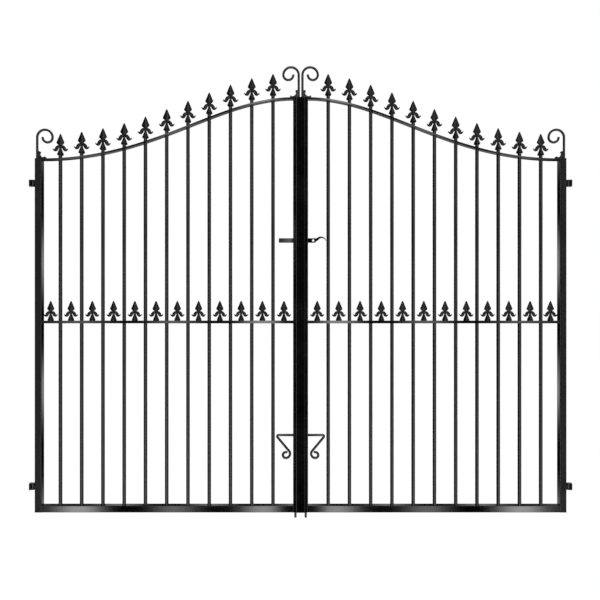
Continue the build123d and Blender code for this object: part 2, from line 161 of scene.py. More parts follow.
@dataclass
class Ironwork:
    """Collects the meshes of one piece in gate millimetres and makes its object.

    The gate's X is measured from the middle of the opening, Y from the middle of the leaves'
    thickness and Z from the foot of the stiles.
    """

    side: Side = Side.RIGHT
    points: list[Point] = field(default_factory=list)
    faces: list[list[int]] = field(default_factory=list)
    bevel_steps: int = 2
    sharp_angle: float = 28.0
    flat_weight: int = 100
    equal_area: float = 0.00002
    bead_step: float = 0.9
    bead_least_steps: int = 6
    bead_taper: float = 2.5
    bead_end: float = 0.04
    bead_ripple: float = 0.08
    bead_turn: float = 2.1
    bead_sides: int = 10

    def add(self, points: Iterable[Sequence[float]], faces: Iterable[Sequence[int]]) -> None:
        """Add a shell.

        Args:
            points: Its points.
            faces: Numbers of the points of each face.
        """
        start = len(self.points)
        self.points += [(p[0], p[1], p[2]) for p in points]
        self.faces += [[start + i for i in face] for face in faces]

    def add_bmesh(self, shell: bmesh.types.BMesh) -> None:
        """Add a shell that was worked out as a bmesh, and free it.

        Args:
            shell: The shell.
        """
        shell.verts.index_update()
        self.add([v.co for v in shell.verts], [[v.index for v in f.verts] for f in shell.faces])
        shell.free()

    def skin(self, loops: Sequence[Sequence[Sequence[float]]]) -> None:
        """Join closed loops of equal length one after the other, and close both ends.

        Args:
            loops: Points of each loop.
        """
        count = len(loops[0])
        faces = [[r * count + i, r * count + (i + 1) % count, (r + 1) * count + (i + 1) % count,
                  (r + 1) * count + i] for r in range(len(loops) - 1) for i in range(count)]
        last = (len(loops) - 1) * count
        faces += [list(range(count))[::-1], [last + i for i in range(count)]]
        self.add([p for loop in loops for p in loop], faces)

    def turned(self, axis: Flat, profile: Sequence[Flat], sides: int = 24) -> None:
        """Turn a profile about an upright axis.

        Args:
            axis: X and Y of the axis.
            profile: Radius and height of each ring, from the foot up.
            sides: Points on each ring.
        """
        turns = [math.tau * i / sides for i in range(sides)]
        self.skin([[(axis[0] + r * math.cos(a), axis[1] + r * math.sin(a), z) for a in turns]
                   for r, z in profile])

    def bent(self, path: Sequence[Point], outline: Callable[[int], Sequence[Flat]],
             across: Point) -> None:
        """Carry an outline along a path that lies in one plane.

        Args:
            path: Points of the middle line.
            outline: Gives the outline at a point's number, as (along across, in the plane).
            across: Direction at right angles to the plane of the path.
        """
        line = [Vector(p) for p in path]
        side = Vector(across).normalized()
        loops = []
        for i, middle in enumerate(line):
            along = (line[min(i + 1, len(line) - 1)] - line[max(i - 1, 0)]).normalized()
            up = along.cross(side)
            loops.append([middle + side * a + up * b for a, b in outline(i)])
        self.skin(loops)

    def bar(self, path: Sequence[Point], outline: Sequence[Flat]) -> None:
        """Carry one outline along a path in the plane of the leaf."""
        self.bent(path, lambda _: outline, INTO_DRIVE)

    def rod(self, path: Sequence[Point], radii: Sequence[float], across: Point = INTO_DRIVE,
            sides: int = 24, squash: float = 1.0) -> None:
        """Round bar along a path.

        Args:
            path: Points of the middle line, in one plane.
            radii: The radius at each point.
            across: Direction at right angles to the plane of the path.
            sides: Points round the bar.
            squash: Share of the radius that is kept along across.
        """
        ring = hole((0, 0), 1, sides)
        self.bent(path, lambda i: [(a * radii[i] * squash, b * radii[i]) for a, b in ring], across)

    def bevel(self, shell: bmesh.types.BMesh, edges: Sequence[bmesh.types.BMEdge], corner: float,
              steps: int) -> None:
        """Round some edges of a shell and add the shell.

        Args:
            shell: The shell.
            edges: Edges to round.
            corner: Radius of the edges.
            steps: Steps in each rounded edge.
        """
        bmesh.ops.bevel(shell, geom=edges, offset=corner, segments=steps, profile=0.5,
                        affect="EDGES", clamp_overlap=True)
        self.add_bmesh(shell)

    def block(self, low: Point, high: Point, corner: float, steps: int = 2) -> None:
        """Block between two corners, with rounded edges.

        Args:
            low: Corner with the lowest numbers.
            high: Corner with the highest numbers.
            corner: Radius of the edges.
            steps: Steps in each rounded edge.
        """
        shell = bmesh.new()
        bmesh.ops.create_cube(shell, size=1)
        for vertex in shell.verts:
            vertex.co = Vector([(a + b) / 2 + c * (b - a) for a, b, c in zip(low, high, vertex.co)])
        self.bevel(shell, shell.edges[:], corner, steps)

    def plate(self, facing: Facing, outline: Sequence[Flat], depths: Flat, corner: float,
              holes: Sequence[Sequence[Flat]] = ()) -> None:
        """Flat shape cut to an outline, with rounded edges.

        Args:
            facing: Plane that the outline is drawn in.
            outline: Its outer edge.
            depths: Where it starts and ends, at right angles to that plane.
            corner: Radius of the edges.
            holes: Outlines of the holes through it.
        """
        shell = bmesh.new()
        rims = []
        for loop in (outline, *holes):
            ring = [shell.verts.new(facing.place(a, b, depths[0])) for a, b in loop]
            rims += [shell.edges.new((a, b)) for a, b in zip(ring, ring[1:] + ring[:1])]
        bmesh.ops.triangle_fill(shell, edges=rims, use_beauty=True, use_dissolve=False)
        grown = bmesh.ops.extrude_face_region(shell, geom=shell.faces[:])["geom"]
        push = Vector(facing.place(0, 0, depths[1] - depths[0]))
        moved = [g for g in grown if isinstance(g, bmesh.types.BMVert)]
        bmesh.ops.translate(shell, vec=push, verts=moved)
        bmesh.ops.recalc_face_normals(shell, faces=shell.faces[:])
        limit = math.radians(self.sharp_angle)
        sharp = [e for e in shell.edges if len(e.link_faces) == 2 and e.calc_face_angle(0) > limit]
        self.bevel(shell, sharp, corner, self.bevel_steps)

    def bead(self, start: Point, end: Point, radius: float) -> None:
        """Level run of weld with ripples, half sunk in the corner between two bars.

        Args:
            start: One end of the run.
            end: The other end.
            radius: Radius of the run.
        """
        steps = max(self.bead_least_steps, int(math.dist(start, end) / self.bead_step))
        path, sizes = [], []
        for i in range(steps + 1):
            path.append(tuple(a + (b - a) * i / steps for a, b in zip(start, end)))
            taper = max(self.bead_end, min(i, steps - i) / self.bead_taper)
            ripple = 1 - self.bead_ripple + self.bead_ripple * math.cos(i * self.bead_turn)
            sizes.append(radius * min(1.0, math.sqrt(taper)) * ripple)
        self.rod(path, sizes, UP, self.bead_sides)

    def piece(self, name: str, body: str, finish: bpy.types.Material, replaced: Sequence[str] = (),
              crease: float = CREASE) -> None:
        """Make the object, dress it and let it ride.

        Args:
            name: The piece's name.
            body: Body that it rides on.
            finish: Its material.
            replaced: CAD nodes that it stands for.
            crease: Angle in degrees above which an edge stays sharp.
        """
        sign = self.side.value
        mesh = bpy.data.meshes.new(name)
        placed = [tuple((a - b) / MM_PER_METRE for a, b in zip((sign * x, y, z), ORIGIN))
                  for x, y, z in self.points]
        mesh.from_pydata(placed, [], self.faces)
        shell = bmesh.new()
        shell.from_mesh(mesh)
        bmesh.ops.recalc_face_normals(shell, faces=shell.faces[:])
        shell.to_mesh(mesh)
        shell.free()
        mesh.polygons.foreach_set("use_smooth", [True] * len(mesh.polygons))
        mesh.set_sharp_from_angle(angle=math.radians(crease))
        mesh.materials.append(finish)
        item = bpy.data.objects.new(name, mesh)
        bpy.context.scene.collection.objects.link(item)
        even = item.modifiers.new("even_shading", "WEIGHTED_NORMAL")
        even.keep_sharp = True
        even.weight, even.thresh = self.flat_weight, self.equal_area
        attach(item, body)
        if replaced:
            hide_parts(*replaced)
        log.info("%s: %d faces on %s", name, len(mesh.polygons), body)

    def sided(self, name: str, finish: bpy.types.Material, node: str, body: str = "leaf",
              crease: float = CREASE) -> None:
        """Make a piece whose name, body and CAD node all start with its side.

        Args:
            name: The piece's name without its side.
            finish: Its material.
            node: CAD node that it stands for, without its side.
            body: Body that it rides on, without its side.
            crease: Angle in degrees above which an edge stays sharp.
        """
        word = self.side.word
        self.piece(f"{word}_{name}", f"{word}_{body}", finish, [f"{word}_{node}"], crease)


class Value:
    """A node's output that can be used in arithmetic with numbers and other outputs."""

    def __init__(self, bench: Bench, socket: bpy.types.NodeSocket) -> None:
        """Keep the bench and the socket."""
        self.bench = bench
        self.socket = socket

    def calc(self, operation: str, *others: Value | float) -> Value:
        """Put this value first into a Math node with an operation and the other values."""
        return self.bench.math(operation, self, *others)

    def __add__(self, other: Value | float) -> Value:
        """Sum."""
        return self.calc("ADD", other)

    __radd__ = __add__

    def __sub__(self, other: Value | float) -> Value:
        """Difference."""
        return self.calc("SUBTRACT", other)

    def __rsub__(self, other: Value | float) -> Value:
        """Difference with a number in front."""
        return self.bench.math("SUBTRACT", other, self)

    def __mul__(self, other: Value | float) -> Value:
        """Product."""
        return self.calc("MULTIPLY", other)

    __rmul__ = __mul__

    def __neg__(self) -> Value:
        """Opposite."""
        return self.calc("MULTIPLY", -1.0)


class Bench:
    """Makes the nodes of one material or world."""

    def __init__(self, owner: bpy.types.Material | bpy.types.World) -> None:
        """Clear the owner's tree.

        Args:
            owner: Material or world that the nodes are for.
        """
        owner.use_nodes = True
        self.tree = owner.node_tree
        self.tree.nodes.clear()

    def node(self, kind: str, settings: Mapping[str, Any] | None = None,
             inputs: Mapping[str | int, Any] | None = None) -> bpy.types.Node:
        """Make any node.

        Args:
            kind: The node's type.
            settings: Its own settings; stops is a ramp's list of place and level.
            inputs: Value or link of each socket, by name or number.

        Returns:
            The node.
        """
        made = self.tree.nodes.new(kind)
        for name, setting in (settings or {}).items():
            if name == "stops":
                self.set_stops(made.color_ramp, setting)
            else:
                setattr(made, name, setting)
        for name, given in (inputs or {}).items():
            if isinstance(given, Value):
                self.tree.links.new(given.socket, made.inputs[name])
            else:
                made.inputs[name].default_value = given
        return made

    @staticmethod
    def set_stops(ramp: bpy.types.ColorRamp, stops: Sequence[Flat]) -> None:
        """Give a ramp its stops.

        Args:
            ramp: The ramp.
            stops: Place and grey level of each stop.
        """
        while len(ramp.elements) > 1:
            ramp.elements.remove(ramp.elements[-1])
        for number, (place, level) in enumerate(stops):
            stop = ramp.elements[0] if number == 0 else ramp.elements.new(place)
            stop.position = place
            stop.color = (level, level, level, 1)

    def out(self, made: bpy.types.Node, name: str | int = 0) -> Value:
        """One output of a node."""
        return Value(self, made.outputs[name])

    def math(self, operation: str, *values: Value | float) -> Value:
        """Math node on numbers."""
        inputs = dict(enumerate(values))
        return self.out(self.node("ShaderNodeMath", {"operation": operation}, inputs))

    def noise(self, place: Value, scale: float, detail: float = 2, roughness: float = 0.5) -> Value:
        """Noise from 0 to 1 at a scale in patches per metre."""
        inputs = {"Vector": place, "Scale": scale, "Detail": detail, "Roughness": roughness}
        return self.out(self.node("ShaderNodeTexNoise", {"noise_dimensions": "3D"}, inputs), "Fac")

    def ramp(self, value: Value, stops: Stops) -> Value:
        """Curve of levels over a value from 0 to 1."""
        made = self.node("ShaderNodeValToRGB", {"stops": stops}, {"Fac": value})
        return self.out(self.node("ShaderNodeSeparateColor", inputs={"Color": self.out(made)}))

    def part(self, vector: Value, name: str) -> Value:
        """One of the three numbers of a vector."""
        split = self.node("ShaderNodeSeparateXYZ", inputs={"Vector": vector})
        return self.out(split, name)

    def blend(self, share: Value, first: Point, second: Point) -> Value:
        """Mix two colours by a share."""
        inputs = {0: share, 6: (*first, 1), 7: (*second, 1)}
        return self.out(self.node("ShaderNodeMix", {"data_type": "RGBA"}, inputs), 2)

    def finish(self, shader: bpy.types.Node, world: bool = False) -> None:
        """Join a shader to the tree's output."""
        kind = "ShaderNodeOutputWorld" if world else "ShaderNodeOutputMaterial"
        self.node(kind, inputs={"Surface": self.out(shader)})


@dataclass(frozen=True)
class BlackPaint:
    """Gloss black paint on iron.

    Attributes:
        name: Name of the material.
        deep: Colour of the thick paint.
        thin: Colour where dusting, light rubbing and painted light on upward faces lift it.
        polish: Roughness of the smoothest patches.
        dulling: Added roughness in the dullest patches.
        peel: Depth in metres of the fine orange peel.
        peel_scale: Patches of orange peel per metre.
        wave: Depth in metres of the slow waves left by the brush and the mill.
        wave_scale: Waves per metre.
        index: Refractive index, which sets how bright the gloss is.
        clouds: Patches per metre of the cloudy wear.
        cloud_detail: Layers of finer noise in it.
        cloud_roughness: Strength of those layers.
        cloud_stops: Level of the wear over its noise.
        specks: Patches per metre of the specks.
        speck_stops: Level of the specks over their noise.
        top_dust_and_light_stops: Level of the lift on faces that look up, partly dusting and partly
            painted light on top faces, over the share of a face that looks up.
        top_dust_and_light_least: Share of that lift that lies where no clouds are.
        top_dust_and_light_clouds: Share that the clouds add.
        lifts: How much clouds, specks and the lift on upward faces (dusting with painted top light)
            lift the colour.
        dulls: How much clouds, that lift on upward faces and specks dull the gloss.
    """

    name: str
    deep: Point = (0.0012, 0.0012, 0.0013)
    thin: Point = (0.010, 0.010, 0.0105)
    polish: float = 0.03
    dulling: float = 0.05
    peel: float = 0.000005
    peel_scale: float = 420.0
    wave: float = 0.00005
    wave_scale: float = 11.0
    index: float = 1.42
    clouds: float = 7.0
    cloud_detail: float = 5.0
    cloud_roughness: float = 0.6
    cloud_stops: Stops = ((0.38, 0), (0.68, 1))
    specks: float = 160.0
    speck_stops: Stops = ((0.60, 0), (0.74, 1))
    # Upward faces are lifted: partly dusting, partly painted light where light falls on top faces.
    top_dust_and_light_stops: Stops = ((0.55, 0), (0.98, 1))
    top_dust_and_light_least: float = 0.35
    top_dust_and_light_clouds: float = 0.4
    lifts: Point = (0.35, 0.12, 0.6)
    dulls: Point = (0.6, 0.8, 0.05)

    def material(self) -> bpy.types.Material:
        """Build the material.

        Returns:
            The material.
        """
        made = bpy.data.materials.new(self.name)
        bench = Bench(made)
        place = bench.out(bench.node("ShaderNodeTexCoord"), "Object")
        cloudy = bench.noise(place, self.clouds, self.cloud_detail, self.cloud_roughness)
        cloudy = bench.ramp(cloudy, self.cloud_stops)
        specks = bench.ramp(bench.noise(place, self.specks), self.speck_stops)
        upward = bench.part(bench.out(bench.node("ShaderNodeNewGeometry"), "Normal"), "Z")
        # Painted light: faces that look up are lifted towards thin, partly as dusting and partly as
        # painted light on top faces; the same mask also dulls them.
        top_dust_and_light = bench.ramp(upward, self.top_dust_and_light_stops) * (self.top_dust_and_light_least + cloudy * self.top_dust_and_light_clouds)
        by_clouds, by_specks, by_top_dust_and_light = self.lifts
        lifted = cloudy * by_clouds + specks * by_specks + top_dust_and_light * by_top_dust_and_light
        colour = bench.blend(bench.math("MINIMUM", lifted, 1.0), self.deep, self.thin)
        by_clouds, by_top_dust_and_light, by_specks = self.dulls
        rough = (self.polish + cloudy * self.dulling * by_clouds + top_dust_and_light * self.dulling * by_top_dust_and_light
                 + specks * by_specks)
        height = (bench.noise(place, self.peel_scale) * self.peel
                  + bench.noise(place, self.wave_scale) * self.wave)
        inputs = {"Strength": 1.0, "Distance": 1.0, "Height": height}
        bump = bench.node("ShaderNodeBump", inputs=inputs)
        inputs = {"Base Color": colour, "Roughness": rough, "Metallic": 0.0, "IOR": self.index,
                  "Normal": bench.out(bump)}
        bench.finish(bench.node("ShaderNodeBsdfPrincipled", inputs=inputs))
        return made


@dataclass(frozen=True)
class Paints:
    """The finishes of the gate."""

    bars: bpy.types.Material
    castings: bpy.types.Material
    sliding: bpy.types.Material
    strip: bpy.types.Material
    welds: bpy.types.Material

    @classmethod
    def mixed(cls) -> Paints:
        """Make every finish.

        Returns:
            The finishes.
        """
        coarse = {"peel": 0.00006, "peel_scale": 700.0}
        return cls(
            bars=BlackPaint("gloss_black_bar").material(),
            castings=BlackPaint("gloss_black_casting", polish=0.2, dulling=0.2, wave=0.0003,
                                index=1.28, **coarse).material(),
            sliding=BlackPaint("gloss_black_sliding_iron", dulling=0.02, peel=0.000004,
                               wave=0.00002).material(),
            strip=BlackPaint("deep_black_strip", polish=0.02, dulling=0.01, wave=0.00002,
                             index=1.34).material(),
            welds=BlackPaint("gloss_black_weld", polish=0.2, **coarse).material(),
        )


@dataclass(frozen=True)
class Gate:
    """Sizes in millimetres that the sub-assemblies share."""

    pin_place: float = 1185.0
    pin_setback: float = 5.0
    hinge_outer: float = 1170.0
    hinge_inner: float = 1140.0
    meeting_outer: float = 3.0
    meeting_inner: float = 33.0
    hinge_height: float = 1559.0
    meeting_height: float = 1828.0
    tube: float = 30.0
    cap: float = 3.0
    picket_radius: float = 8.0
    picket_count: int = 11
    picket_pitch: float = 94.0
    first_picket: float = 1062.0
    first_above_rail: float = 16.5
    last_above_rail: float = 20.5
    mid_underside: float = 832.0
    mid_thickness: float = 12.0
    rail_depth: float = 25.0
    top_thickness: float = 8.0
    meeting_handle: float = 335.0
    hinge_handle: float = 494.0
    lower_hinge: float = 110.0
    upper_hinge: float = 1452.0
    rail_steps: int = 6
    halvings: int = 40

    @property
    def pickets(self) -> list[float]:
        """Distance of each picket from the middle of the opening."""
        return [self.first_picket - self.picket_pitch * i for i in range(self.picket_count)]

    @property
    def mid_top(self) -> float:
        """Height of the mid rail's upper face."""
        return self.mid_underside + self.mid_thickness

    def level_line(self, height: float) -> list[Point]:
        """Middle line of a straight rail.

        Args:
            height: Its height.

        Returns:
            Its points, from the meeting stile to the hinge stile.
        """
        start, steps = self.meeting_inner, self.rail_steps
        length = self.hinge_inner - start
        return [(start + length * i / steps, 0, height) for i in range(steps + 1)]

    def rail_point(self, share: float) -> Flat:
        """Point on the top rail's middle line.

        Args:
            share: 0 at the meeting stile to 1 at the hinge stile.

        Returns:
            Distance from the middle of the opening, and height.
        """
        rest = 1 - share
        across = (rest**3 * self.meeting_inner
                  + 3 * rest**2 * share * (self.meeting_inner + self.meeting_handle)
                  + 3 * rest * share**2 * (self.hinge_inner - self.hinge_handle)
                  + share**3 * self.hinge_inner)
        high = self.meeting_height - self.top_thickness / 2
        low = self.hinge_height - self.top_thickness / 2
        return across, high + (3 * share**2 - 2 * share**3) * (low - high)

    def picket_top(self, place: float) -> float:
        """Height at which a picket ends.

        Args:
            place: Its distance from the middle of the opening.

        Returns:
            The height.
        """
        low, high = 0.0, 1.0
        for _ in range(self.halvings):
            middle = (low + high) / 2
            if self.rail_point(middle)[0] < place:
                low = middle
            else:
                high = middle
        share = (self.first_picket - place) / (self.picket_pitch * (self.picket_count - 1))
        gain = share * (self.last_above_rail - self.first_above_rail)
        return self.rail_point(low)[1] + self.first_above_rail + gain


@dataclass(frozen=True)
class SubAssembly:
    """Anything that is built from the gate's sizes and finishes, drawn on one side."""

    gate: Gate
    paints: Paints
    side: Side = Side.RIGHT


@dataclass(frozen=True)
class LeafFrame(SubAssembly):
    """Square tube stiles with cap plates, and the bottom rail."""

    corner: float = 2.4
    corner_steps: int = 4
    cap_corner: float = 0.9
    cap_steps: int = 3

    @property
    def section(self) -> list[Flat]:
        """Outline of the tube."""
        return eased_rectangle(self.gate.tube, self.gate.tube, self.corner, self.corner_steps)

    def build(self) -> None:
        """Make the frame of one leaf."""
        gate, caps, rail = self.gate, Ironwork(self.side), Ironwork(self.side)
        half = gate.tube / 2
        for word, near, height in (("hinge", gate.hinge_inner, gate.hinge_height),
                                   ("meeting", gate.meeting_outer, gate.meeting_height)):
            stile = Ironwork(self.side)
            levels = (gate.cap, height / 3, 2 * height / 3, height - gate.cap)
            stile.bar([(near + half, 0, z) for z in levels], self.section)
            stile.sided(f"{word}_stile_tube", self.paints.bars, f"{word}_stile")
            for foot in (0, height - gate.cap):
                caps.block((near, -half, foot), (near + gate.tube, half, foot + gate.cap),
                           self.cap_corner, self.cap_steps)
        caps.sided("stile_cap_plates", self.paints.bars, "stile_caps")
        rail.bar(gate.level_line(half), self.section)
        rail.sided("bottom_rail_tube", self.paints.bars, "bottom_rail")


@dataclass(frozen=True)
class Infill(SubAssembly):
    """Flat rails and the round pickets that pass through them."""

    corner: float = 0.8
    corner_steps: int = 2
    bell_steps: int = 120
    picket_sides: int = 32
    picket_sink: float = 1.0
    picket_joint: float = 300.0
    ring: float = 1.6
    ring_profile: tuple[Flat, ...] = ((1.0, -0.5), (0.62, 0.88), (0.0625, 2.08))

    def build(self) -> None:
        """Make the infill of one leaf."""
        gate = self.gate
        height = gate.mid_underside + gate.mid_thickness / 2
        bell = [gate.rail_point(i / self.bell_steps) for i in range(self.bell_steps + 1)]
        self.rail("mid_rail", gate.level_line(height), gate.mid_thickness)
        self.rail("top_rail", [(x, 0, z) for x, z in bell], gate.top_thickness)
        self.pickets()

    def rail(self, node: str, line: Sequence[Point], thickness: float) -> None:
        """Flat bar along a line.

        Args:
            node: CAD node that it stands for, without its side.
            line: Points of its middle line.
            thickness: Its thickness.
        """
        iron = Ironwork(self.side)
        section = eased_rectangle(self.gate.rail_depth, thickness, self.corner, self.corner_steps)
        iron.bar(line, section)
        iron.sided(f"{node}_bar", self.paints.bars, node)

    def pickets(self) -> None:
        """Round bars, each with the weld ring at its foot."""
        gate, iron = self.gate, Ironwork(self.side)
        r, foot = gate.picket_radius, gate.tube
        for place in gate.pickets:
            levels = (foot - self.picket_sink, foot + self.picket_joint, gate.mid_underside,
                      gate.picket_top(place))
            iron.turned((place, 0), [(r, z) for z in levels], self.picket_sides)
            ring = [(r + self.ring * wide, foot + up) for wide, up in self.ring_profile]
            iron.turned((place, 0), ring, self.picket_sides)
        iron.sided("picket_bars", self.paints.bars, "pickets")


@dataclass(frozen=True)
class SpearHeads(SubAssembly):
    """Cast spear heads on the pickets and on the mid rail.

    The blade has half width, half depth and height at each station, the arm has distance from
    the middle, height and radius, and the foot has radius and height.
    """

    small: float = 0.91
    blade: tuple[Point, ...] = (
        (3.4, 3.4, 38.0), (5.8, 4.2, 42.5), (8.8, 4.8, 46.8), (13.6, 5.6, 51.2), (16.8, 5.9, 55.0),
        (17.8, 5.9, 57.4), (16.8, 5.7, 61.0), (14.6, 5.1, 66.0), (12.0, 4.3, 72.0),
        (9.4, 3.5, 78.5), (6.7, 2.7, 85.0), (4.3, 1.9, 91.0), (2.0, 1.0, 95.0), (0.5, 0.3, 96.0),
    )
    arm: tuple[Point, ...] = (
        (1.0, 39.0, 6.2), (6.0, 39.8, 6.6), (10.8, 38.8, 7.3), (14.4, 35.4, 7.9), (16.8, 30.8, 8.1),
        (19.2, 26.8, 7.9), (22.2, 24.6, 6.9), (25.6, 24.3, 5.3), (28.9, 25.8, 3.8),
        (31.9, 28.4, 2.3), (34.2, 31.4, 1.0),
    )
    foot: tuple[Flat, ...] = (
        (8.0, 0.0), (10.6, 0.6), (13.4, 1.8), (14.4, 3.0), (14.6, 4.2), (14.1, 5.8), (12.8, 9.4),
        (11.0, 14.2), (9.0, 19.4), (7.2, 24.2), (5.8, 28.6), (4.9, 32.5), (4.6, 37.0), (4.6, 42.0),
    )
    seat: float = 13.9
    seat_ring: int = 4
    arm_flatness: float = 0.58
    lens: float = 1.25
    blade_sides: int = 20
    arm_sides: int = 14
    crease: float = 32.0

    def build(self) -> None:
        """Make both rows of heads of one leaf."""
        gate, row, r = self.gate, self.gate.pickets, self.gate.picket_radius
        gaps = [(gate.hinge_inner + row[0] + r) / 2]
        gaps += [(a + b) / 2 for a, b in zip(row, row[1:])]
        gaps.append((row[-1] - r + gate.meeting_inner) / 2)
        for word, spots, size in (("top", [(x, gate.picket_top(x)) for x in row], 1.0),
                                  ("mid", [(x, gate.mid_top) for x in gaps], self.small)):
            iron = Ironwork(self.side)
            for place, foot in spots:
                self.head(iron, place, foot, size)
            iron.sided(f"{word}_spear_heads", self.paints.castings, f"{word}_heads",
                       crease=self.crease)

    def head(self, iron: Ironwork, place: float, foot: float, size: float) -> None:
        """One head that stands on a height.

        Args:
            iron: Piece that it is added to.
            place: Distance from the middle of the opening.
            foot: Height that it stands on.
            size: Its size as a share of the large head.
        """
        turns = [math.pi * i / (self.blade_sides // 2) for i in range(self.blade_sides)]
        ring = [(self.bulge(math.cos(turn)), self.bulge(math.sin(turn))) for turn in turns]
        iron.skin([[(place + size * wide * a, size * deep * b, foot + size * up) for a, b in ring]
                   for wide, deep, up in self.smooth(self.blade)])
        profile = self.foot if size == 1 else ((self.seat, 0), *self.foot[self.seat_ring:])
        iron.turned((place, 0), [(size * r, foot + size * z) for r, z in profile])
        bend = self.smooth(self.arm)
        for way in (1, -1):
            path = [(place + way * size * x, 0, foot + size * z) for x, z, _ in bend]
            iron.rod(path, [size * r for _, _, r in bend], sides=self.arm_sides,
                     squash=self.arm_flatness)

    def bulge(self, share: float) -> float:
        """Draw a point of a circle towards the lens shape of the blade."""
        return abs(share) ** self.lens * math.copysign(1, share)

    @staticmethod
    def smooth(stations: Sequence[Point], between: int = 2) -> list[Point]:
        """Add stations on a smooth curve through the given ones.

        Args:
            stations: Three numbers at each station.
            between: Steps from one station to the next.

        Returns:
            The given stations and those added between them.
        """
        last = len(stations) - 1
        found = []
        for i in range(last):
            a, b, c, d = (Vector(stations[min(max(j, 0), last)]) for j in (i - 1, i, i + 1, i + 2))
            for step in range(between):
                t = step / between
                bend = (2 * b + (c - a) * t + (2 * a - 5 * b + 4 * c - d) * t**2
                        + (3 * b - a - 3 * c + d) * t**3) / 2
                found.append(tuple(bend))
        return found + [stations[-1]]


@dataclass(frozen=True)
class Scrolls(SubAssembly):
    """Scrolls that stand on the stiles, with the small brackets at their feet."""

    bar: float = 10.5
    outer: float = 34.0
    inner: float = 22.0
    curl_steps: int = 30
    sink: float = 0.2
    tip: tuple[Flat, ...] = ((0.7, 0.97), (1.5, 0.85), (2.0, 0.6))
    hinge_rise: float = 95.0
    meeting_rise: float = 102.0
    reach: float = 33.0
    leg: float = 6.0
    lip: float = 9.0
    lip_taper: float = 1.0
    lip_width: float = 4.0
    fillet: float = 18.0
    fillet_steps: int = 10
    foot_depth: float = 16.0
    foot_gap: float = 0.2
    foot_corner: float = 0.7

    def build(self) -> None:
        """Make both scrolls of one leaf and their feet."""
        gate = self.gate
        spots = ((gate.hinge_outer, gate.hinge_height, self.hinge_rise, -1),
                 (gate.meeting_outer, gate.meeting_height, self.meeting_rise, 1))
        bars, feet = Ironwork(self.side), Ironwork(self.side)
        for face, height, rise, inward in spots:
            stem = face + inward * self.bar / 2
            corner = stem + inward * (self.bar / 2 + self.foot_gap)
            self.scroll(bars, stem, height, height + rise, inward)
            self.foot(feet, corner, height + self.foot_gap, inward)
        bars.sided("scroll_bars", self.paints.bars, "scrolls")
        feet.sided("scroll_foot_brackets", self.paints.castings, "scroll_feet")

    def scroll(self, iron: Ironwork, stem: float, foot: float, centre: float, inward: int) -> None:
        """One scroll: up, over in a half circle and back in a tighter one.

        Args:
            iron: Piece that it is added to.
            stem: Place of the upright part.
            foot: Height that it stands on.
            centre: Height of the middle of the curls.
            inward: Sign of the way that it curls.
        """
        first = stem + inward * self.outer
        second = first + inward * (self.outer - self.inner)
        line = [(stem, foot - self.sink), (stem, foot + (centre - foot) / 2)]
        curls = ((first, self.outer, 180, 0), (second, self.inner, 0, 1))
        for middle, radius, start, skipped in curls:
            curl = arc((middle, centre), radius, start, start - 180, self.curl_steps)[skipped:]
            line += [(middle + inward * (x - middle), z) for x, z in curl]
        radius = self.bar / 2
        radii = [radius] * len(line)
        end = line[-1]
        for rise, share in self.tip:
            line.append((end[0], end[1] + rise))
            radii.append(radius * share)
        iron.rod([(x, 0, z) for x, z in line], radii)

    def foot(self, iron: Ironwork, corner: float, height: float, inward: int) -> None:
        """L-shaped bracket with a lip near each end and a rounded inside corner.

        Args:
            iron: Piece that it is added to.
            corner: Place of its outside corner.
            height: Height of that corner.
            inward: Sign of the way that it reaches.
        """
        start = self.leg + self.fillet
        end = self.reach - self.lip_taper
        back = end - self.lip_taper - self.lip_width
        level = [(self.reach, 0), (self.reach, self.leg), (end, self.lip), (back, self.lip),
                 (back - self.lip_taper, self.leg)]
        bend = arc((start, start), self.fillet, 270, 180, self.fillet_steps)
        upright = [(z, x) for x, z in reversed(level)]
        half = self.foot_depth / 2
        placed = [(corner + inward * x, height + z) for x, z in ((0, 0), *level, *bend, *upright)]
        iron.plate(Facing.FRONT, placed, (-half, half), self.foot_corner)


